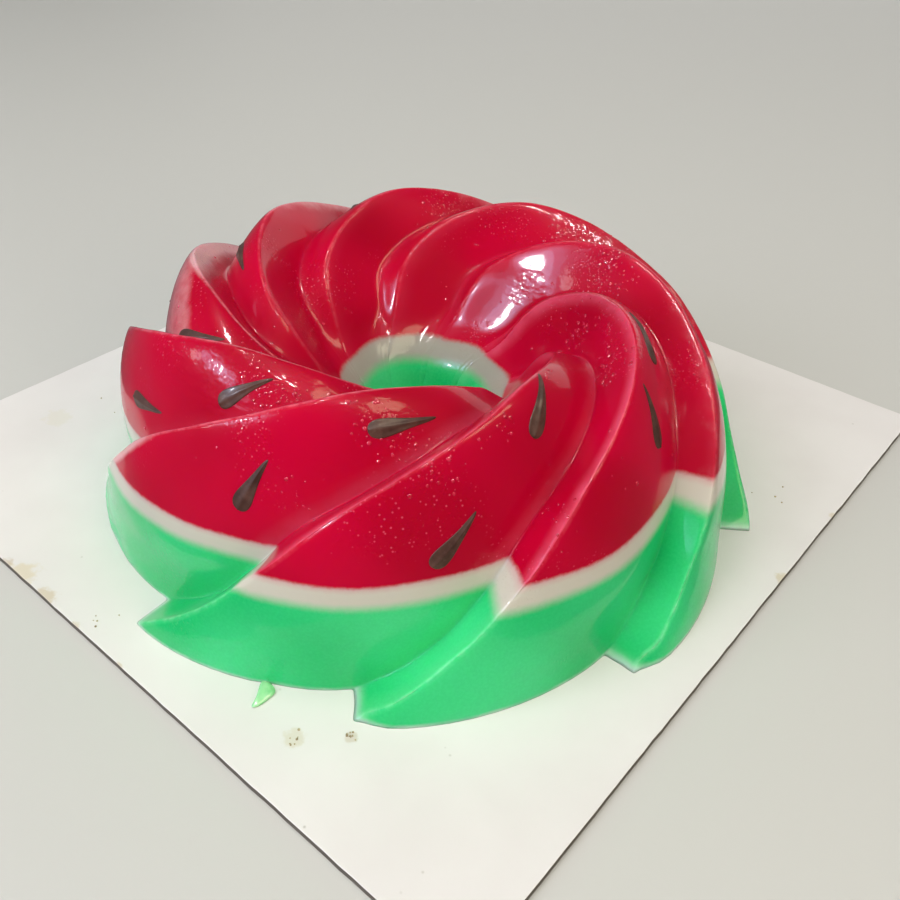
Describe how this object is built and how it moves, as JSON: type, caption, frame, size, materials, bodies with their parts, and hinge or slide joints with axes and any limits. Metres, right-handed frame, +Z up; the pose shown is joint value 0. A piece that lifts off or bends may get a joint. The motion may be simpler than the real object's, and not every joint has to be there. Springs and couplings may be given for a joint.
{
  "type": "moulded jelly",
  "caption": "Ring-shaped moulded jelly with swept blades in red, white and green layers, with chocolate seeds, on its square white cake board.",
  "frame": {"origin": "middle of the cake board's underside", "axes": "+Z up, X and Y along the board's edges"},
  "size_m": [0.3, 0.3, 0.0861],
  "materials": {
    "board_white": "white foil-faced card, smooth and slightly worn, with stained edges",
    "jelly_green": "wet glossy set jelly, milky translucent bright green",
    "jelly_white": "wet glossy set milk jelly, off-white",
    "jelly_red": "wet glossy set jelly, translucent deep red with paler thin edges",
    "chocolate": "dark chocolate, smooth with a faint bloom"
  },
  "bodies": {
    "root": {"cake_board": "board_white", "jelly_green": "jelly_green", "jelly_white": "jelly_white", "jelly_red": "jelly_red", "seed_01": "chocolate", "seed_02": "chocolate", "seed_03": "chocolate", "seed_04": "chocolate", "seed_05": "chocolate", "seed_06": "chocolate", "seed_07": "chocolate", "seed_08": "chocolate", "seed_09": "chocolate", "seed_10": "chocolate", "seed_11": "chocolate", "seed_12": "chocolate", "seed_13": "chocolate", "seed_14": "chocolate", "seed_15": "chocolate", "seed_16": "chocolate", "seed_17": "chocolate", "seed_18": "chocolate"}
  },
  "joints": []
}
